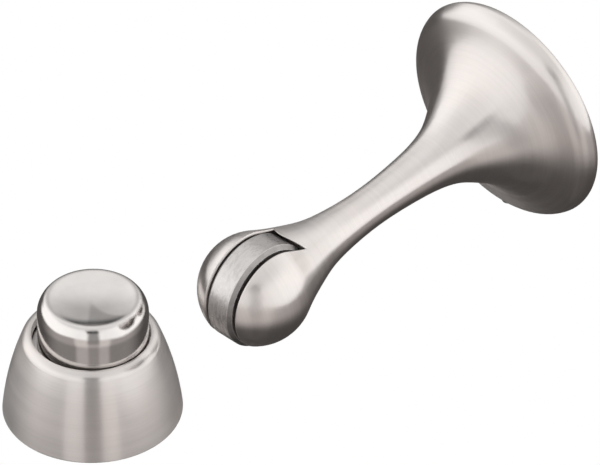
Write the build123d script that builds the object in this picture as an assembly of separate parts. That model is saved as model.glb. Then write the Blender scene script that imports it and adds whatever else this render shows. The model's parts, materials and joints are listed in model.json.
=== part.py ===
from build123d import *
import os
from math import acos, cos, degrees, radians, sin, sqrt

# Magnetic floor door holder, in millimetres.
# The floor unit stands on the origin: a conical housing screwed to the floor, out of which
# a sprung cup with a dished top rises. The door unit is a trumpet-shaped arm with a slotted
# ball at its free end, and the ball carries the steel disc that rolls into the dish.
# Origin: centre of the floor unit's underside. +Z is up.

# ---- floor unit: conical housing ---------------------------------------------------------
base_radius = 19.0
waist_radius = 17.28        # half way up the cone, which bulges a little
waist_height = 10.0
shoulder_radius = 14.7
shoulder_height = 18.2
lip_height = 19.7
lip_crown_radius = 13.0     # where the rounded shoulder reaches its top
lip_radius = 12.45          # opening that the cup rises through
lip_underside = 17.9
cone_bore_top = 13.95
cone_bore_bottom = 16.9
foot_edge = 0.12
lip_edge = 0.3

# ---- floor unit: base plate and its fixings ----------------------------------------------
pad_thickness = 0.6
pad_radius = 16.6
plate_radius = 16.1
plate_top = 3.6
spring_boss_radius = 5.4
spring_boss_top = 5.4
floor_screw_pcd = 24.0
floor_screw_count = 3
floor_screw_start = 30.0
screw_neck_radius = 1.5      # plain part under the head, inside a plate
screw_thread_radius = 1.75
screw_hole_radius = 2.0
screw_head_radius = 3.3
screw_head_depth = 1.9
screw_point_length = 4.0
screw_point_radius = 0.2
screw_cross_length = 3.6
screw_cross_width = 0.7
screw_cross_depth = 0.8
floor_screw_length = 28.0
grub_radius = 1.5
grub_clearance = 0.05
socket_radius = 0.8
socket_depth = 1.4
housing_grub_height = 2.1
housing_grub_length = 4.2
buffer_inner = 11.4
buffer_outer = 13.4
buffer_top = 9.5
buffer_roundness = 0.6

# ---- floor unit: spring and its seat -----------------------------------------------------
spring_mean_radius = 6.6
spring_wire = 1.0
spring_turns = 3.5
spring_gap = 0.05           # between the wire and what it stands on
seat_underside = 12.0
seat_top = 13.4
seat_radius = 8.6
seat_dome_radius = 5.0
seat_dome_top = 15.5
seat_guide_radius = 5.2
seat_guide_length = 1.6

# ---- floor unit: sprung cup, its magnet and its flange -----------------------------------
cup_offset_x = 0.45         # the cup sits loose in the lip, a little to one side
cup_offset_y = -0.35
cup_radius = 11.7
cup_bottom = 13.6
cup_side_top = 25.2
crest_radius = 9.7
crest_height = 29.35
crest_roundness = 1.2
dish_depth = 1.9
cup_wall = 1.3
pole_radius = 10.3
pole_bottom = 15.6
pole_top = 24.4
pole_wall = 1.5
pole_floor = 1.5
magnet_radius = 8.7
magnet_top = 25.4
magnet_edge = 0.3
circlip_inner = 9.1
circlip_bottom = 14.5
circlip_gap = 5.0
flange_radius = 13.2
flange_bottom = 14.2
flange_top = 17.2
flange_edge = 0.3
thread_gap = 0.02

# ---- door unit: where the ball stands, and which way the arm points ----------------------
ball_x = 34.36
ball_y = -12.57
ball_z = 41.42
arm_heading = 45.4          # degrees from +X towards +Y, ball to door
arm_rise = 4.5              # degrees above level

# ---- door unit: arm. x runs along the arm from the ball's centre, y is up, z is the pin --
arm_length = 76.8           # ball centre to the door's face
ball_radius = 12.0
neck_start = 5.4            # where the ball runs out into the neck
neck_profile = [            # distance from the ball's centre, radius
    (9.0, 9.05),
    (13.0, 7.5),
    (17.5, 6.0),
    (24.0, 4.88),
    (32.5, 4.33),
    (44.4, 4.85),
    (51.0, 5.7),
    (56.5, 7.3),
    (61.0, 9.8),
    (66.0, 13.5),
    (69.6, 17.9),
    (71.8, 22.3),
]
flare_end_slope = (0.42, 1)  # along, outwards
rim_shoulder = (73.4, 24.5)
rim_crown = 75.4
door_flange_radius = 25.4
door_flange_back = 24.9
recess_radius = 21.6
recess_floor = 72.6
door_plate_radius = 21.3
door_plate_front = 73.0
door_pad_thickness = 0.6
door_screw_pcd = 26.0
door_screw_count = 3
door_screw_start = 220.0    # degrees from the arm's up direction towards the pin's
door_screw_reach = 7.5      # how far a screw stands out of the door face
arm_grub_from_ball = 74.7
arm_grub_depth = 0.6        # its socket end below the flange's rim
arm_grub_length = 4.8

# ---- door unit: slot, disc and pin -------------------------------------------------------
slot_centre = 0.9           # the slot is cut a little off the ball's centre plane
slot_width = 7.8
slot_edge_break = 0.3
pocket_radius = 12.35
pin_radius = 1.5
pin_far_end = -11.6
pin_near_end = 7.6
pin_edge = 0.2
pin_fit = 0.02
disc_centre = 0.65
disc_radius = 11.65
disc_width = 6.8
disc_chamfer = 0.8
bush_radius = 2.7
bush_bore = 1.56
washer_radius = 3.6
washer_gap = 0.05
washer_wall_gap = 0.01

cup_axis = Location((cup_offset_x, cup_offset_y, 0))


def ring(outer, inner, bottom, top):
    """A plain ring standing on the Z axis."""
    height = top - bottom
    body = Cylinder(outer, height) - Cylinder(inner, height * 2)
    return body.moved(Location((0, 0, (bottom + top) / 2)))


def post(radius, bottom, top):
    """A plain round bar on the Z axis."""
    return Cylinder(radius, top - bottom).moved(Location((0, 0, (bottom + top) / 2)))


def circle_places(pcd, count, start, height=0.0):
    """Places evenly spaced on a circle about the Z axis."""
    places = []
    for i in range(count):
        angle = radians(start + i * 360 / count)
        places.append(Location((pcd / 2 * cos(angle), pcd / 2 * sin(angle), height)))
    return places


def floor_screw_places():
    return circle_places(floor_screw_pcd, floor_screw_count, floor_screw_start)


def countersink(top, clearance):
    """The cutter for one countersunk screw hole, its face at height top."""
    hole = post(screw_hole_radius, top - 12, top + 1)
    mouth = Cone(screw_hole_radius, screw_head_radius + clearance, screw_head_depth)
    return hole + mouth.moved(Location((0, 0, top - screw_head_depth / 2)))


def wood_screw(top, length, grip):
    """Countersunk wood screw pointing down, its head at height top, its thread grip below that."""
    tip = top - length
    head = Cone(screw_neck_radius, screw_head_radius, screw_head_depth)
    head = head.moved(Location((0, 0, top - screw_head_depth / 2)))
    neck = post(screw_neck_radius, top - grip, top - screw_head_depth / 2)
    thread = post(screw_thread_radius, tip + screw_point_length, top - grip)
    point = Cone(screw_point_radius, screw_thread_radius, screw_point_length)
    screw = head + neck + thread + point.moved(Location((0, 0, tip + screw_point_length / 2)))
    for turn in (0, 90):
        blade = Box(screw_cross_length, screw_cross_width, screw_cross_depth * 2)
        screw = screw - blade.moved(Location((0, 0, top), (0, 0, turn)))
    return screw


def grub_screw(length):
    """Socket set screw along +X, its socket end at x = 0 and its cup point at -length."""
    body = Cylinder(grub_radius, length).moved(Location((-length / 2, 0, 0), (0, 90, 0)))
    socket = extrude(RegularPolygon(socket_radius, 6), 2 * socket_depth)
    return body - socket.moved(Location((-socket_depth, 0, 0), (0, 90, 0)))


def grub_hole(length):
    """The cutter for a set screw's hole along X, a little deeper than the screw is long."""
    radius = grub_radius + grub_clearance
    return Cylinder(radius, 2 * length + 0.2).moved(Location((0, 0, 0), (0, 90, 0)))


# ---- floor unit --------------------------------------------------------------------------
def housing_grub_place():
    """The set screw enters at the back of the cone; x points outwards along +Y."""
    return Location((0, base_radius - 0.5, housing_grub_height), (0, 0, 90))


def make_cone_housing():
    with BuildPart() as part:
        with BuildSketch(Plane.XZ):
            with BuildLine():
                foot = Line((cone_bore_bottom, 0), (base_radius - foot_edge, 0))
                edge = TangentArc(foot @ 1, (base_radius, foot_edge), tangent=(1, 0))
                side = ThreePointArc(
                    edge @ 1,
                    (waist_radius, waist_height),
                    (shoulder_radius, shoulder_height),
                )
                shoulder = TangentArc(side @ 1, (lip_crown_radius, lip_height), tangent=side % 1)
                lip = Line(shoulder @ 1, (lip_radius + lip_edge, lip_height))
                nose = TangentArc(lip @ 1, (lip_radius, lip_height - lip_edge), tangent=(-1, 0))
                bore = Line(nose @ 1, (lip_radius, lip_underside))
                under = Line(bore @ 1, (cone_bore_top, lip_underside))
                Line(under @ 1, foot @ 0)
            make_face()
        revolve(axis=Axis.Z)
    return part.part - grub_hole(housing_grub_length).moved(housing_grub_place())


def make_base_plate():
    plate = post(plate_radius, pad_thickness, plate_top)
    plate = plate + post(spring_boss_radius, plate_top, spring_boss_top)
    plate = plate - post(spring_boss_radius - 1.6, plate_top - 1.0, spring_boss_top + 1)
    for place in floor_screw_places():
        plate = plate - countersink(plate_top, 0.1).moved(place)
    return plate - grub_hole(housing_grub_length).moved(housing_grub_place())


def make_base_pad():
    pad = post(pad_radius, 0, pad_thickness)
    for place in floor_screw_places():
        pad = pad - post(screw_hole_radius, -1, pad_thickness + 1).moved(place)
    return pad


def make_floor_screws():
    screw = wood_screw(plate_top, floor_screw_length, plate_top)
    return Compound(children=[screw.moved(place) for place in floor_screw_places()])


def make_housing_grub_screw():
    return grub_screw(housing_grub_length).moved(housing_grub_place())


def make_buffer_ring():
    body = ring(buffer_outer, buffer_inner, plate_top, buffer_top)
    return fillet(body.edges().group_by(Axis.Z)[-1], buffer_roundness)


def make_spring():
    """Compression spring, its wire lying between the base plate and the seat."""
    low = plate_top + spring_wire / 2 + spring_gap
    high = seat_underside - spring_wire / 2 - spring_gap
    pitch = (high - low) / spring_turns
    path = Helix(pitch, high - low, spring_mean_radius)
    section = Plane(origin=path @ 0, z_dir=path % 0) * Circle(spring_wire / 2)
    return sweep(section, path).moved(Location((0, 0, low)))


def make_spring_seat():
    """Plate on the spring's top, with a low dome that the magnet's cup rocks on."""
    plate = post(seat_radius, seat_underside, seat_top)
    guide = post(seat_guide_radius, seat_underside - seat_guide_length, seat_underside)
    rise = seat_dome_top - seat_top
    sphere_radius = (seat_dome_radius**2 + rise**2) / (2 * rise)
    dome = Sphere(sphere_radius).moved(Location((0, 0, seat_dome_top - sphere_radius)))
    dome = dome & post(seat_dome_radius, seat_top - 0.5, seat_dome_top + 1)
    return (plate + guide + dome).moved(cup_axis)


def make_catch_cup():
    """Polished cup: straight skirt, rounded shoulder, narrow crest and a dished top."""
    dish_bottom = crest_height - dish_depth
    sphere = (crest_radius**2 + dish_depth**2) / (2 * dish_depth)
    centre_z = dish_bottom + sphere
    inner_side = cup_radius - cup_wall
    inner_reach = crest_radius - cup_wall
    inner_rim = centre_z - sqrt((sphere + cup_wall) ** 2 - inner_reach**2)
    with BuildPart() as part:
        with BuildSketch(Plane.XZ):
            with BuildLine():
                dish = TangentArc((0, dish_bottom), (crest_radius, crest_height), tangent=(1, 0))
                skirt = Line((cup_radius, cup_bottom), (cup_radius, cup_side_top))
                TangentArc(skirt @ 1, dish @ 1, tangent=(0, 1))
                bore = Line((inner_side, cup_bottom), (inner_side, cup_side_top))
                roof = TangentArc((0, dish_bottom - cup_wall), (inner_reach, inner_rim), tangent=(1, 0))
                TangentArc(bore @ 1, roof @ 1, tangent=(0, 1))
                Line(skirt @ 0, bore @ 0)
                Line(dish @ 0, roof @ 0)
            make_face()
        revolve(axis=Axis.Z)
        crest = part.edges().group_by(Axis.Z)[-1]
        fillet(crest, crest_roundness)
    return part.part.moved(cup_axis)


def make_pole_cup():
    body = post(pole_radius, pole_bottom, pole_top)
    body = body - post(pole_radius - pole_wall, pole_bottom + pole_floor, pole_top + 1)
    return body.moved(cup_axis)


def make_magnet():
    body = post(magnet_radius, pole_bottom + pole_floor, magnet_top)
    return chamfer(body.edges().filter_by(GeomType.CIRCLE), magnet_edge).moved(cup_axis)


def make_retaining_ring():
    """Open ring that holds the magnet's steel cup up inside the polished one."""
    body = ring(pole_radius, circlip_inner, circlip_bottom, pole_bottom)
    gap = Box(pole_radius, circlip_gap, pole_radius).moved(Location((pole_radius, 0, circlip_bottom)))
    return (body - gap).moved(cup_axis)


def make_cup_retainer():
    """Flange screwed on the cup's skirt: it stops under the lip and keeps the cup in."""
    body = ring(flange_radius, cup_radius + thread_gap, flange_bottom, flange_top)
    outer_edges = body.edges().filter_by(GeomType.CIRCLE).sort_by(SortBy.RADIUS)[-2:]
    return chamfer(outer_edges, flange_edge).moved(cup_axis)


# ---- door unit ---------------------------------------------------------------------------
def arm_place():
    """From the arm's own axes to the object's: x along the arm, y up, z along the pin."""
    heading = radians(arm_heading)
    rise = radians(arm_rise)
    along = (cos(heading) * cos(rise), sin(heading) * cos(rise), sin(rise))
    pin = (sin(heading), -cos(heading), 0)
    return Plane(origin=(ball_x, ball_y, ball_z), x_dir=along, z_dir=pin).location


def door_screw_places():
    """Screw places on the door plate, each facing along the arm's x."""
    places = []
    for i in range(door_screw_count):
        angle = radians(door_screw_start + i * 360 / door_screw_count)
        y = door_screw_pcd / 2 * cos(angle)
        z = door_screw_pcd / 2 * sin(angle)
        places.append(Location((0, y, z), (0, 90, 0)))
    return places


def along_arm(shape):
    """Turns a shape built about Z so that its Z runs along the arm's x."""
    return shape.moved(Location((0, 0, 0), (0, 90, 0)))


def arm_grub_place():
    """The set screw enters under the flange; its x points outwards, along the arm's -y."""
    return Location((arm_grub_from_ball, arm_grub_depth - door_flange_radius, 0), (0, 0, -90))


def make_arm_body():
    """The turned body: ball, waisted neck, trumpet flare, rolled rim and a recess in its back."""
    neck_angle = degrees(acos(neck_start / ball_radius))
    with BuildPart() as part:
        with BuildSketch():
            with BuildLine():
                ball = CenterArc((0, 0), ball_radius, 180, neck_angle - 180)
                neck = Spline(ball @ 1, *neck_profile, tangents=(ball % 1, flare_end_slope))
                rim = ThreePointArc(neck @ 1, rim_shoulder, (rim_crown, door_flange_radius))
                back = TangentArc(rim @ 1, (arm_length, door_flange_back), tangent=(1, 0))
                Polyline(
                    back @ 1,
                    (arm_length, recess_radius),
                    (recess_floor, recess_radius),
                    (recess_floor, 0),
                    ball @ 0,
                )
            make_face()
        revolve(axis=Axis.X)
    return part.part


def slot_low():
    return slot_centre - slot_width / 2


def slot_high():
    return slot_centre + slot_width / 2


def disc_low():
    return disc_centre - disc_width / 2


def disc_high():
    return disc_centre + disc_width / 2


def make_arm():
    arm = make_arm_body() - post(pocket_radius, slot_low(), slot_high())
    rims = [edge for edge in arm.edges() if on_slot_rim(edge)]
    arm = chamfer(rims, slot_edge_break)
    arm = arm - post(pin_radius + pin_fit, -ball_radius - 1, pin_near_end + pin_fit)
    return arm - grub_hole(arm_grub_length).moved(arm_grub_place())


def on_slot_rim(edge):
    """True where the slot opens through the skin: along both walls and across the neck end."""
    close = 0.02
    middle = edge @ 0.5
    reach = sqrt(middle.X**2 + middle.Y**2)
    on_wall = min(abs(middle.Z - slot_low()), abs(middle.Z - slot_high())) < close
    if on_wall:
        return reach < pocket_radius - close
    return abs(reach - pocket_radius) < close and slot_low() < middle.Z < slot_high()


def make_door_plate():
    height = arm_length - door_pad_thickness - door_plate_front
    plate = post(door_plate_radius, 0, height)
    plate = along_arm(plate).moved(Location((door_plate_front, 0, 0)))
    for place in door_screw_places():
        hole = countersink(0, 0.1).moved(Location((0, 0, 0), (180, 0, 0)))
        plate = plate - hole.moved(place).moved(Location((door_plate_front, 0, 0)))
    return plate - grub_hole(arm_grub_length).moved(arm_grub_place())


def make_door_pad():
    pad = along_arm(post(door_plate_radius, 0, door_pad_thickness))
    for place in door_screw_places():
        pad = pad - post(screw_hole_radius, -1, 2).moved(place)
    return pad.moved(Location((arm_length - door_pad_thickness, 0, 0)))


def make_door_screws():
    grip = arm_length - door_plate_front
    screw = wood_screw(0, grip + door_screw_reach, grip).moved(Location((0, 0, 0), (180, 0, 0)))
    front = Location((door_plate_front, 0, 0))
    return Compound(children=[screw.moved(place).moved(front) for place in door_screw_places()])


def make_arm_grub_screw():
    return grub_screw(arm_grub_length).moved(arm_grub_place())


def make_disc_pin():
    pin = post(pin_radius, pin_far_end, pin_near_end)
    return chamfer(pin.edges().filter_by(GeomType.CIRCLE), pin_edge)


def make_keeper_disc():
    disc = post(disc_radius, disc_low(), disc_high())
    disc = chamfer(disc.edges().filter_by(GeomType.CIRCLE), disc_chamfer)
    return disc - post(bush_radius, -disc_width, disc_width * 2)


def make_disc_bush():
    return ring(bush_radius, bush_bore, disc_low(), disc_high())


def make_spacer_washers():
    """Two thin washers that keep the disc clear of the slot's walls."""
    low = ring(washer_radius, bush_bore, slot_low() + washer_wall_gap, disc_low() - washer_gap)
    high = ring(washer_radius, bush_bore, disc_high() + washer_gap, slot_high() - washer_wall_gap)
    return Compound(children=[low, high])


floor_parts = {
    "cone_housing": make_cone_housing,
    "base_plate": make_base_plate,
    "base_pad": make_base_pad,
    "floor_screws": make_floor_screws,
    "housing_grub_screw": make_housing_grub_screw,
    "buffer_ring": make_buffer_ring,
    "spring": make_spring,
    "spring_seat": make_spring_seat,
    "catch_cup": make_catch_cup,
    "pole_cup": make_pole_cup,
    "magnet": make_magnet,
    "retaining_ring": make_retaining_ring,
    "cup_retainer": make_cup_retainer,
}
door_parts = {
    "arm": make_arm,
    "door_plate": make_door_plate,
    "door_pad": make_door_pad,
    "door_screws": make_door_screws,
    "arm_grub_screw": make_arm_grub_screw,
    "disc_pin": make_disc_pin,
    "keeper_disc": make_keeper_disc,
    "disc_bush": make_disc_bush,
    "spacer_washers": make_spacer_washers,
}

os.makedirs("parts", exist_ok=True)
for name, make in floor_parts.items():
    export_step(make(), f"parts/{name}.step")
for name, make in door_parts.items():
    export_step(make().moved(arm_place()), f"parts/{name}.step")
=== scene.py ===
import json
from math import cos, pi, radians, sin

import bpy
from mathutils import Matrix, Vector


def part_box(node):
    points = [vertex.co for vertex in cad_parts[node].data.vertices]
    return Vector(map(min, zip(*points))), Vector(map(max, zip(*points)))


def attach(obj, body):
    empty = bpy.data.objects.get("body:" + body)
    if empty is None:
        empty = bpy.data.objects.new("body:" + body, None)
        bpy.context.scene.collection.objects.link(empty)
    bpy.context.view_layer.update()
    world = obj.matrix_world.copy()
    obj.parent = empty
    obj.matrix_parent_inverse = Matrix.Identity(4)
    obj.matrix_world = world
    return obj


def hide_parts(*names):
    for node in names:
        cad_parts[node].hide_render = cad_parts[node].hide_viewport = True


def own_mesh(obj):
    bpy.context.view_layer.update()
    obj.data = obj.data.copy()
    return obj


# Looks of the magnetic floor door holder: satin nickel housing and arm, polished cup, ground steel disc.
# Everything is in metres, in the CAD frame: the floor unit stands on the origin and +Z is up.

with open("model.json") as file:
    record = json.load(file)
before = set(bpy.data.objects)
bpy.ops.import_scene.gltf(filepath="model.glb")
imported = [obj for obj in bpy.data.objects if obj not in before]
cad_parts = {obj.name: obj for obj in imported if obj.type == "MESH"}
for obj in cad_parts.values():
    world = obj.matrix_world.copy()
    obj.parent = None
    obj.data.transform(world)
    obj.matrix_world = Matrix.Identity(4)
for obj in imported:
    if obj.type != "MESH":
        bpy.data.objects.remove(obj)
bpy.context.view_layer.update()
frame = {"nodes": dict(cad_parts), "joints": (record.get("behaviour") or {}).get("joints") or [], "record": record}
record = frame["record"]
nodes = frame["nodes"]

mm = 0.001

# ---- places read from the frame ----------------------------------------------------------
joints = {joint["name"]: joint for joint in frame["joints"]}
mounts = {mount["name"]: mount for mount in record["mounts"]}
pin_centre = Vector(joints["disc_spin"]["pos_m"])
pin_axis = Vector(joints["disc_spin"]["axis"])
arm_axis = Vector(mounts["door_face"]["axis"])
upright = Vector((0, 0, 1))
origin = Vector((0, 0, 0))
cup_low, cup_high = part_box("catch_cup")
cup_centre = Vector(((cup_low.x + cup_high.x) / 2, (cup_low.y + cup_high.y) / 2, 0))

# ---- spring, drawn as a wire in a mesh of its own ------------------------------------------
spring_wire = 1.0 * mm
spring_turns = 3.5
spring_steps = 48           # a turn
spring_sides = 14           # round the wire

# ---- camera ------------------------------------------------------------------------------
lens_mm = 480.0
sensor_mm = 36.0
view_elevation = 38.0
view_distance = 1.6825
view_shift_right = 0.0436
view_shift_up = 0.0364
clip_end = 20.0

# ---- floor, for the camera only ------------------------------------------------------------
floor_half = 3.0
floor_drop = 0.02 * mm      # clear of the pad that stands on it

# ---- studio, as the metal sees it ----------------------------------------------------------
# A tone is a multiple of plain white. A turn is in degrees round from the camera's side, + to the
# camera's right; behind the pieces is 180. A height is the z part of a unit direction: 0 is level and
# 1 straight up. Each pair says where a change starts and ends.
tent_left_tone = 1.34
tent_right_tone = 1.32
left_to_right = (-40, 40)
tent_front_share = 0.88
front_turns = (25, 75)
tent_back_share = 0.42
back_turns = (128, 176)
top_front_tone = 0.84
top_back_tone = 1.02
top_turns = (60, 130)
top_heights = (0.5, 0.9)
gap_tone = 0.30             # a dark slit in the tent, in front
gap_centre = 2.0
gap_half_width = 10.5
gap_fade = (0.8, 1.3)       # shares of the half width
seam_share = 0.72           # a fold in the tent, just left of straight behind
seam_width = 13.0           # at its foot
seam_fade = 2.0
seam_heights = (0.15, 0.68)
low_back_share = 0.14       # the dark strip behind the pieces, just above the table
low_back_turns = (122, 144)
low_back_heights = (0.03, 0.26)
lens_share = 0.08           # the dark lens, seen where a surface faces the camera
lens_half_width = 14.0
lens_fade = 1.0
lens_half_height = 0.09
lens_height_fade = 0.01
table_tone = 0.42           # just below the horizon, in front
table_back_tone = 0.10      # behind the pieces
table_back_turns = (70, 125)
table_low_tone = 0.07       # straight down
table_low_heights = (-0.85, -0.45)
patch_gain = 0.8            # a lighter part of the table, in front
patch_turns = (30, 38)
patch_in_gap = -0.1         # its share where the gap would be black
far_slit_share = 0.45       # the gap's image on the far part of the table
far_slit_heights = (-0.45, -0.25)
sink_right = 0.19           # how far below level the tent hangs at the right
sink_right_turns = (12, 65)
sink_left = 0.13
sink_left_turns = (-80, -35)
horizon_heights = (-0.035, 0.03)
table_tint = (1.0, 0.93, 0.90)
tent_tint = (1.0, 0.99, 0.98)

# ---- finishes ----------------------------------------------------------------------------
white = (1.0, 1.0, 1.0)
nickel = (0.790, 0.762, 0.745)
nickel_tarnish = (0.99, 0.965, 0.955)   # what a tarnished patch keeps of each colour
polished = (0.740, 0.715, 0.700)
steel = (0.620, 0.600, 0.590)
zinc = (0.640, 0.650, 0.660)
dark_steel = (0.330, 0.325, 0.320)
magnet_plate = (0.560, 0.555, 0.550)
bronze = (0.560, 0.370, 0.190)
rubber = (0.035, 0.034, 0.033)
rubbed_nickel = (0.84, 0.82, 0.80)
rubbed_steel = (0.84, 0.83, 0.82)
satin_fine = (60, 5200)     # brushing: features per metre across the lines, and along the axis
satin_broad = (25, 900)
buffing = (90, 7000)
ground_pits = (700, 1800)
ground_lines = (50, 4200)
satin_rough = (0.37, 0.43)
satin_edge_rough = 0.28
mirror_rough = (0.07, 0.11)
ground_rough = (0.24, 0.4)
chamfer_rough = 0.5
bronze_rough = (0.35, 0.5)
rubber_rough = (0.62, 0.82)
sheen_amount = 0.42         # share of the satin finish that still mirrors softly
sheen_roughness = 0.5       # of the brushed finish's
cloud_shade = 0.95          # what a darker patch keeps of its metal's colour
pit_shade = 0.4
chamfer_shade = 0.3
mottle_shade = 0.82
stain_shade = 0.7
rubbed_shade = 1.3          # a plated edge is lighter than its plate
edge_starts = 0.98          # cosine between the surface and its rounded copy where an edge begins
edge_samples = 4
ring_share = 0.6            # how much the radius counts in the brushing, beside the length
darkest_below = -7 * mm        # the disc's rim is darker, more pitted and bumpier below its axle than above
lightest_above = 5 * mm


class Graph:
    """A short way to write a node tree: sockets and plain numbers mix freely as inputs."""

    def __init__(self, tree):
        self.tree = tree
        tree.nodes.clear()

    def node(self, kind, settings=None, **inputs):
        made = self.tree.nodes.new(kind)
        for name, value in (settings or {}).items():
            setattr(made, name, value)
        for name, value in inputs.items():
            self.put(made.inputs[name.replace("_", " ")], value)
        return made

    def put(self, socket, value):
        if isinstance(value, bpy.types.NodeSocket):
            self.tree.links.new(value, socket)
        elif isinstance(value, Vector):
            socket.default_value = value[:]
        else:
            socket.default_value = value

    def math(self, operation, a, b=0.0, c=0.0):
        made = self.node("ShaderNodeMath", {"operation": operation})
        for socket, value in zip(made.inputs, (a, b, c)):
            self.put(socket, value)
        return made.outputs[0]

    def times(self, a, b):
        return self.math("MULTIPLY", a, b)

    def plus(self, a, b):
        return self.math("ADD", a, b)

    def off(self, a, b):
        """How far a is from b, either way."""
        return self.math("ABSOLUTE", self.math("SUBTRACT", a, b))

    def vector(self, operation, a, b=(0, 0, 0)):
        made = self.node("ShaderNodeVectorMath", {"operation": operation})
        self.put(made.inputs[0], a)
        self.put(made.inputs[1], b)
        return made.outputs["Value" if operation in ("DOT_PRODUCT", "LENGTH") else "Vector"]

    def scaled(self, vector, scale):
        made = self.node("ShaderNodeVectorMath", {"operation": "SCALE"})
        self.put(made.inputs[0], vector)
        self.put(made.inputs["Scale"], scale)
        return made.outputs["Vector"]

    def noise(self, vector, scale, detail=2.0, rough=0.5):
        made = self.node("ShaderNodeTexNoise", Vector=vector, Scale=scale, Detail=detail, Roughness=rough)
        return made.outputs["Fac"]

    def span(self, value, low, high, to_low=0.0, to_high=1.0, smooth=False):
        """value carried from low..high to to_low..to_high, held at the ends."""
        made = self.node("ShaderNodeMapRange", {"clamp": True})
        made.interpolation_type = "SMOOTHSTEP" if smooth else "LINEAR"
        sockets = ("Value", "From Min", "From Max", "To Min", "To Max")
        for name, put in zip(sockets, (value, low, high, to_low, to_high)):
            self.put(made.inputs[name], put)
        return made.outputs["Result"]

    def eased(self, value, ends, to_low=0.0, to_high=1.0):
        """span with a gentle start and end, between a pair."""
        return self.span(value, *ends, to_low, to_high, smooth=True)

    def turned(self, value, ends, to_low=0.0, to_high=1.0):
        """eased between a pair of turns."""
        return self.eased(value, [radians(end) for end in ends], to_low, to_high)

    def spread(self, noise, low=0.0, high=1.0, reach=0.15):
        """A noise, which keeps near a half, carried to low..high."""
        return self.span(noise, 0.5 - reach, 0.5 + reach, low, high)

    def mix(self, share, a, b, blend="MIX"):
        made = self.node("ShaderNodeMix", {"data_type": "RGBA", "blend_type": blend})
        self.put(made.inputs["Factor"], share)
        self.put(made.inputs["A"], colour(a))
        self.put(made.inputs["B"], colour(b))
        return made.outputs["Result"]

    def toned(self, base, tone):
        """The colour base, each part times tone."""
        grey = self.node("ShaderNodeCombineColor", Red=tone, Green=tone, Blue=tone)
        return self.mix(1.0, base, grey.outputs[0], "MULTIPLY")

    def lerp(self, share, a, b):
        """a where share is 0, b where it is 1."""
        return self.math("MULTIPLY_ADD", share, self.math("SUBTRACT", b, a), a)

    def mixed_shaders(self, share, a, b):
        made = self.node("ShaderNodeMixShader")
        for socket, value in zip(made.inputs, (share, a.outputs[0], b.outputs[0])):
            self.put(socket, value)
        return made

    def finish(self, shader, kind="ShaderNodeOutputMaterial"):
        self.put(self.node(kind).inputs["Surface"], shader.outputs[0])


def colour(value):
    if isinstance(value, tuple) and len(value) == 3:
        return (*value, 1.0)
    return value


def shaded(tint, share):
    return tuple(part * share for part in tint)


# ---- studio ------------------------------------------------------------------------------
def gap_share(g, heading):
    """The dark slit in front: gap_tone inside it, 1 elsewhere."""
    ends = [gap_half_width * share for share in gap_fade]
    return g.turned(g.off(heading, radians(gap_centre)), ends, gap_tone, 1.0)


def seam_tone(g, heading, height):
    """A fold that starts as a point high up behind and widens to its foot."""
    from_behind = g.plus(heading, pi)
    edge = g.span(height, *seam_heights, radians(seam_width), 0.0)
    past_edge = g.math("SUBTRACT", from_behind, edge)
    return g.turned(past_edge, (0.0, seam_fade), seam_share, 1.0)


def lens_tone(g, turn, height):
    """The camera's dark lens, straight back along the view."""
    turns = [radians(lens_half_width + side * lens_fade) for side in (-1, 1)]
    heights = [lens_half_height + side * lens_height_fade for side in (-1, 1)]
    wide = g.span(turn, *turns, 1.0, 0.0)
    tall = g.span(g.off(height, sin(radians(view_elevation))), *heights, 1.0, 0.0)
    return g.lerp(g.times(wide, tall), 1.0, lens_share)


def tent_tone(g, heading, turn, height, gap):
    """Above the table: dimmer in front and behind, with the gap, the fold and the lens."""
    tone = g.turned(heading, left_to_right, tent_left_tone, tent_right_tone)
    tone = g.times(tone, g.turned(turn, front_turns, tent_front_share, 1.0))
    tone = g.times(tone, g.turned(turn, back_turns, 1.0, tent_back_share))
    tone = g.times(tone, gap)
    tone = g.times(tone, seam_tone(g, heading, height))
    strip = g.eased(height, low_back_heights, low_back_share, 1.0)
    tone = g.times(tone, g.lerp(g.turned(turn, low_back_turns), 1.0, strip))
    top = g.turned(turn, top_turns, top_front_tone, top_back_tone)
    tone = g.lerp(g.eased(height, top_heights), tone, top)
    return g.times(tone, lens_tone(g, turn, height))


def table_tone_at(g, turn, height, gap):
    """Below: darker downwards and behind, with a lighter patch in front."""
    tone = g.lerp(g.turned(turn, table_back_turns), table_tone, table_back_tone)
    tone = g.lerp(g.eased(height, table_low_heights, 1.0, 0.0), tone, table_low_tone)
    patch = g.times(g.turned(turn, patch_turns, 1.0, 0.0), g.lerp(gap, patch_in_gap, 1.0))
    tone = g.times(tone, g.math("MULTIPLY_ADD", patch, patch_gain, 1.0))
    far = g.span(height, *far_slit_heights)
    return g.times(tone, g.lerp(far, 1.0, g.lerp(gap, far_slit_share, 1.0)))


def above_table(g, heading, height):
    """1 where the tent is seen and 0 where the table is; the tent hangs lower at both sides."""
    right = g.turned(heading, sink_right_turns, 0.0, sink_right)
    left = g.turned(heading, sink_left_turns, sink_left, 0.0)
    return g.eased(g.plus(height, g.plus(right, left)), horizon_heights)


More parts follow.
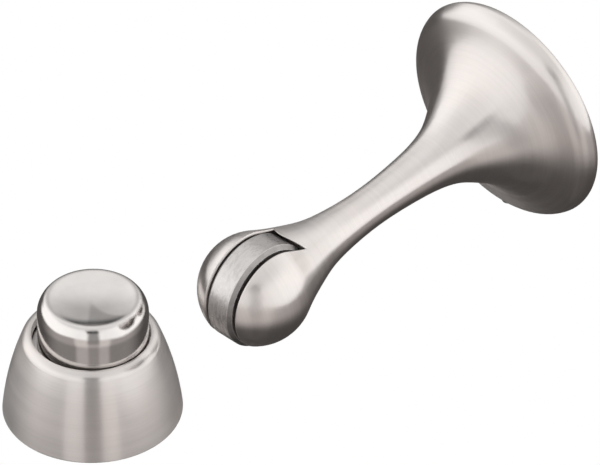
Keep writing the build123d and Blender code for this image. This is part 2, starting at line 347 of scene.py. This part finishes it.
def make_world():
    """A white tent over a darker table, seen in reflections; the camera sees plain white."""
    world = bpy.data.worlds.new("studio")
    bpy.context.scene.world = world
    world.use_nodes = True
    g = Graph(world.node_tree)
    way = g.node("ShaderNodeTexCoord").outputs["Generated"]
    x, y, height = g.node("ShaderNodeSeparateXYZ", Vector=way).outputs
    heading = g.math("ARCTAN2", x, g.times(y, -1.0))
    turn = g.math("ABSOLUTE", heading)
    gap = gap_share(g, heading)
    above = above_table(g, heading, height)
    tone = g.lerp(above, table_tone_at(g, turn, height, gap), tent_tone(g, heading, turn, height, gap))
    seen = g.toned(g.mix(above, table_tint, tent_tint), tone)
    camera_ray = g.node("ShaderNodeLightPath").outputs["Is Camera Ray"]
    background = g.node("ShaderNodeBackground", Color=g.mix(camera_ray, seen, white))
    g.finish(background, "ShaderNodeOutputWorld")


def make_floor():
    """A plain white floor for the camera; reflections look through it to the table's tone."""
    mesh = bpy.data.meshes.new("floor")
    corners = [(-1, -1), (1, -1), (1, 1), (-1, 1)]
    mesh.from_pydata([(a * floor_half, b * floor_half, 0) for a, b in corners], [], [(0, 1, 2, 3)])
    floor = bpy.data.objects.new("floor", mesh)
    bpy.context.scene.collection.objects.link(floor)
    material = bpy.data.materials.new("white_floor")
    material.use_nodes = True
    g = Graph(material.node_tree)
    camera_ray = g.node("ShaderNodeLightPath").outputs["Is Camera Ray"]
    from_below = g.node("ShaderNodeNewGeometry").outputs["Backfacing"]
    shown = g.times(camera_ray, g.math("SUBTRACT", 1.0, from_below))
    lit = g.node("ShaderNodeEmission", Color=colour(white), Strength=1.0)
    g.finish(g.mixed_shaders(shown, g.node("ShaderNodeBsdfTransparent"), lit))
    mesh.materials.append(material)
    floor.location.z = -floor_drop


def place_camera():
    """A long lens looking along +Y and down, aimed between the two units."""
    rise = radians(view_elevation)
    right = Vector((1, 0, 0))
    up = Vector((0, sin(rise), cos(rise)))
    back = Vector((0, -cos(rise), sin(rise)))
    data = bpy.data.cameras.new("camera")
    data.lens = lens_mm
    data.sensor_width = sensor_mm
    data.clip_end = clip_end
    camera = bpy.data.objects.new("camera", data)
    bpy.context.scene.collection.objects.link(camera)
    camera.location = right * view_shift_right + up * view_shift_up + back * view_distance
    camera.rotation_euler = (radians(90 - view_elevation), 0, 0)
    bpy.context.scene.camera = camera


# ---- materials. A noise's scale and a brushing's pair are in features per metre -------------
def start_material(name):
    material = bpy.data.materials.new(name)
    material.use_nodes = True
    graph = Graph(material.node_tree)
    place = graph.node("ShaderNodeTexCoord").outputs["Object"]
    return material, graph, place


def shiny(g, normal, grain_across=None, **inputs):
    """A shader whose highlights stretch along grain_across, at right angles to the brushing."""
    shader = g.node("ShaderNodeBsdfPrincipled", **inputs)
    if grain_across is not None:
        x, y, z = grain_across
        g.put(shader.inputs["Tangent"], g.node("ShaderNodeCombineXYZ", X=x, Y=y, Z=z).outputs[0])
    g.put(shader.inputs["Normal"], normal)
    return shader


def metal(g, normal, base, rough, **inputs):
    return shiny(g, normal, Base_Color=base, Metallic=1.0, Roughness=rough, **inputs)


def bump(g, height, distance, strength, normal=None):
    made = g.node("ShaderNodeBump", Height=height, Distance=distance, Strength=strength)
    if normal is not None:
        g.put(made.inputs["Normal"], normal)
    return made.outputs["Normal"]


def around(g, place, axis, centre, brushing):
    """Coordinates that hardly change round an axis and change fast along it, as brushing does."""
    across, along = brushing
    from_centre = g.vector("SUBTRACT", place, centre)
    reach = g.vector("DOT_PRODUCT", from_centre, axis)
    flat = g.vector("SUBTRACT", from_centre, g.scaled(axis, reach))
    # the radius counts too, so that faces square to the axis get rings
    rings = g.math("MULTIPLY_ADD", g.vector("LENGTH", flat), ring_share, reach)
    lift = g.scaled(axis, g.times(rings, along))
    return g.vector("ADD", g.scaled(flat, across), lift)


def edge_share(g, radius, full=0.80):
    """1 on edges that a polishing wheel rounds and brightens, 0 on open surfaces."""
    rounded = g.node("ShaderNodeBevel", {"samples": edge_samples}, Radius=radius).outputs[0]
    plain = g.node("ShaderNodeNewGeometry").outputs["Normal"]
    facing = g.vector("DOT_PRODUCT", rounded, plain)
    return g.span(facing, edge_starts, full), rounded


def brushed_nickel(name, axis, centre):
    """Satin nickel plate, brushed round its axis on a lathe."""
    material, g, place = start_material(name)
    lines = g.noise(around(g, place, axis, centre, satin_fine), scale=1, detail=3, rough=0.6)
    streaks = g.noise(around(g, place, axis, centre, satin_broad), scale=1)
    patches = g.noise(place, scale=70, detail=3, rough=0.55)
    edge, rounded = edge_share(g, radius=0.35 * mm)
    line_tone = g.spread(lines, -0.03, 0.03, reach=0.2)
    streak_tone = g.spread(streaks, -0.03, 0.03, reach=0.2)
    tone = g.plus(g.plus(line_tone, streak_tone), g.spread(patches, 0.96, 1.02))
    tarnished = tuple(part * kept for part, kept in zip(nickel, nickel_tarnish))
    base = g.toned(g.mix(g.span(patches, 0.35, 0.7), nickel, tarnished), tone)
    base = g.mix(g.times(edge, 0.6), base, rubbed_nickel)
    rough = g.plus(g.spread(streaks, *satin_rough, reach=0.2), g.spread(patches, -0.02, 0.03))
    rough = g.lerp(edge, rough, satin_edge_rough)
    relief = g.plus(lines, g.times(streaks, 0.5))
    normal = bump(g, relief, distance=0.004 * mm, strength=0.35, normal=rounded)
    brushed = metal(g, normal, base, rough, Anisotropic=0.93, grain_across=axis)
    sheen = metal(g, normal, base, g.times(rough, sheen_roughness), Anisotropic=0.6, grain_across=axis)
    g.finish(g.mixed_shaders(sheen_amount, brushed, sheen))
    return material


def polished_nickel(name, axis, centre):
    """Mirror nickel with the faint waves and hairlines that buffing leaves."""
    material, g, place = start_material(name)
    hairlines = g.noise(around(g, place, axis, centre, buffing), scale=1, rough=0.6)
    waves = g.noise(place, scale=160, detail=1, rough=0.4)
    cloud = g.noise(place, scale=240, detail=3, rough=0.6)
    rounded = edge_share(g, radius=0.9 * mm)[1]
    clouded = g.span(cloud, 0.4, 0.7)
    base = g.mix(clouded, polished, shaded(polished, cloud_shade))
    rough = g.plus(g.span(hairlines, 0.35, 0.75, *mirror_rough), g.times(clouded, 0.03))
    normal = bump(g, waves, distance=0.02 * mm, strength=0.3, normal=rounded)
    normal = bump(g, hairlines, distance=0.001 * mm, strength=0.3, normal=normal)
    g.finish(metal(g, normal, base, rough, Anisotropic=0.3, grain_across=axis))
    return material


def ground_steel(name, axis, centre):
    """Bare steel: a rim that is ground round its axis, with pits and a stamped grain."""
    material, g, place = start_material(name)
    grain = g.noise(place, scale=1500, detail=4, rough=0.7)
    pits = g.noise(around(g, place, axis, centre, ground_pits), scale=1, rough=0.6)
    wear = g.noise(place, scale=160, detail=3, rough=0.6)
    lines = g.noise(around(g, place, axis, centre, ground_lines), scale=1)
    edge, rounded = edge_share(g, radius=0.28 * mm, full=0.93)
    lift = g.vector("DOT_PRODUCT", g.vector("SUBTRACT", place, centre), upright)
    # below its axle the rim gets darker pits, a darker chamfer and more bump than above it
    below_axle_share = g.span(lift, darkest_below, lightest_above, 1.0, 0.25)
    dark = g.times(g.span(pits, 0.46, 0.58), g.times(g.span(wear, 0.36, 0.52), below_axle_share))
    plain = g.node("ShaderNodeNewGeometry").outputs["Normal"]
    slant = g.math("ABSOLUTE", g.vector("DOT_PRODUCT", plain, axis))
    on_chamfer = g.times(g.span(slant, 0.25, 0.45), g.span(slant, 0.85, 0.95, 1.0, 0.0))
    chamfer_dark = g.times(g.lerp(below_axle_share, 0.45, 0.95), g.spread(wear, 0.75, 1.0, reach=0.1))
    base = g.mix(g.times(dark, 0.8), steel, shaded(steel, pit_shade))
    base = g.mix(g.times(on_chamfer, chamfer_dark), base, shaded(steel, chamfer_shade))
    base = g.mix(g.times(edge, 0.75), base, rubbed_steel)
    rough = g.plus(g.spread(grain, *ground_rough, reach=0.2), g.times(dark, 0.15))
    rough = g.lerp(on_chamfer, rough, chamfer_rough)
    roughened = g.times(g.spread(wear, 0.2, 1.0), g.lerp(below_axle_share, 0.3, 1.9))
    relief = g.plus(g.times(grain, roughened), g.times(lines, 0.3))
    normal = bump(g, relief, distance=0.09 * mm, strength=0.7, normal=rounded)
    g.finish(metal(g, normal, base, rough, Anisotropic=0.4, grain_across=axis))
    return material


def plated_steel(name, tint, rough_ends, grain_scale):
    """Zinc or nickel plate over pressed steel: mottled, with small scuffs."""
    material, g, place = start_material(name)
    mottle = g.noise(place, scale=220, detail=4, rough=0.6)
    grain = g.noise(place, grain_scale, detail=3, rough=0.6)
    edge, rounded = edge_share(g, radius=0.2 * mm)
    base = g.mix(g.spread(mottle), tint, shaded(tint, mottle_shade))
    base = g.mix(g.times(edge, 0.5), base, shaded(tint, rubbed_shade))
    rough = g.spread(mottle, *rough_ends, reach=0.2)
    normal = bump(g, grain, distance=0.01 * mm, strength=0.4, normal=rounded)
    g.finish(metal(g, normal, base, rough))
    return material


def sintered_bronze():
    """Porous bearing bronze, stained by its oil."""
    material, g, place = start_material("sintered_bronze")
    pores = g.node("ShaderNodeTexVoronoi", Vector=place, Scale=2600).outputs["Distance"]
    stain = g.noise(place, scale=400, detail=3, rough=0.6)
    base = g.mix(g.spread(stain), bronze, shaded(bronze, stain_shade))
    normal = bump(g, pores, distance=0.03 * mm, strength=0.4)
    g.finish(metal(g, normal, base, g.spread(stain, *bronze_rough, reach=0.2)))
    return material


def moulded_rubber():
    """A matt moulded skin with a fine grain and slight dust."""
    material, g, place = start_material("black_rubber")
    grain = g.noise(place, scale=2600, detail=4, rough=0.65)
    dust = g.noise(place, scale=120, detail=3, rough=0.6)
    dusty = tuple(part * 1.6 + 0.03 for part in rubber)
    base = g.mix(g.span(dust, 0.45, 0.75, 0.0, 0.35), rubber, dusty)
    normal = bump(g, grain, distance=0.03 * mm, strength=0.6)
    g.finish(shiny(g, normal, Base_Color=base, Roughness=g.spread(grain, *rubber_rough, reach=0.2)))
    return material


# ---- pieces ------------------------------------------------------------------------------
def spring_points(low, high, steps):
    """Rings of points round the wire's centre line, which climbs from low to high."""
    middle = (low + high) / 2
    wire_radius = spring_wire / 2
    coil_radius = (high.x - low.x) / 2 - wire_radius
    climb = high.z - low.z - spring_wire
    points = []
    for step in range(steps + 1):
        turn = 2 * pi * step / spring_steps
        outward = Vector((cos(turn), sin(turn), 0))
        rise = low.z + wire_radius + climb * step / steps
        heart = Vector((middle.x, middle.y, rise)) + outward * coil_radius
        for side in range(spring_sides):
            angle = 2 * pi * side / spring_sides
            points.append(heart + (outward * cos(angle) + upright * sin(angle)) * wire_radius)
    return points


def spring_faces(steps):
    """Both ends, then the bands between one ring and the next."""
    faces = [tuple(range(spring_sides))]
    faces.append(tuple(steps * spring_sides + side for side in reversed(range(spring_sides))))
    for step in range(steps):
        for side in range(spring_sides):
            here = step * spring_sides + side
            beside = step * spring_sides + (side + 1) % spring_sides
            faces.append((here, here + spring_sides, beside + spring_sides, beside))
    return faces


def make_spring(material):
    """The compression spring again, drawn as a wire in a mesh of its own."""
    low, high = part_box("spring")
    steps = int(spring_turns * spring_steps)
    mesh = bpy.data.meshes.new("spring_wire")
    mesh.from_pydata(spring_points(low, high, steps), [], spring_faces(steps))
    for face in mesh.polygons:
        face.use_smooth = len(face.vertices) == 4
    mesh.materials.append(material)
    spring = bpy.data.objects.new("spring_wire", mesh)
    bpy.context.scene.collection.objects.link(spring)
    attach(spring, "floor_unit")
    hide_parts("spring")
    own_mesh(spring)


def dress():
    """Each CAD node takes its finish, and the wire takes the spring's."""
    plain = plated_steel("plain_steel", steel, (0.25, 0.42), grain_scale=2200)
    zinc_plate = plated_steel("zinc_plate", zinc, (0.28, 0.48), grain_scale=1800)
    spring_steel = plated_steel("spring_steel", dark_steel, (0.25, 0.4), grain_scale=3000)
    magnet_nickel = plated_steel("magnet_nickel", magnet_plate, (0.15, 0.28), grain_scale=900)
    black_rubber = moulded_rubber()
    finishes = {
        "cone_housing": brushed_nickel("satin_nickel_cone", upright, origin),
        "arm": brushed_nickel("satin_nickel_arm", arm_axis, pin_centre),
        "catch_cup": polished_nickel("polished_nickel", upright, cup_centre),
        "keeper_disc": ground_steel("ground_steel", pin_axis, pin_centre),
        "disc_bush": sintered_bronze(),
        "disc_pin": plain,
        "pole_cup": plain,
        "cup_retainer": plain,
        "spring_seat": plain,
        "base_plate": zinc_plate,
        "door_plate": zinc_plate,
        "floor_screws": zinc_plate,
        "door_screws": zinc_plate,
        "spacer_washers": zinc_plate,
        "magnet": magnet_nickel,
        "spring": spring_steel,
        "retaining_ring": spring_steel,
        "housing_grub_screw": spring_steel,
        "arm_grub_screw": spring_steel,
        "base_pad": black_rubber,
        "door_pad": black_rubber,
        "buffer_ring": black_rubber,
    }
    for name, node in nodes.items():
        node.data.materials.clear()
        node.data.materials.append(finishes[name])
    make_spring(spring_steel)


make_world()
make_floor()
place_camera()
dress()
bpy.context.scene.view_settings.view_transform = "Standard"
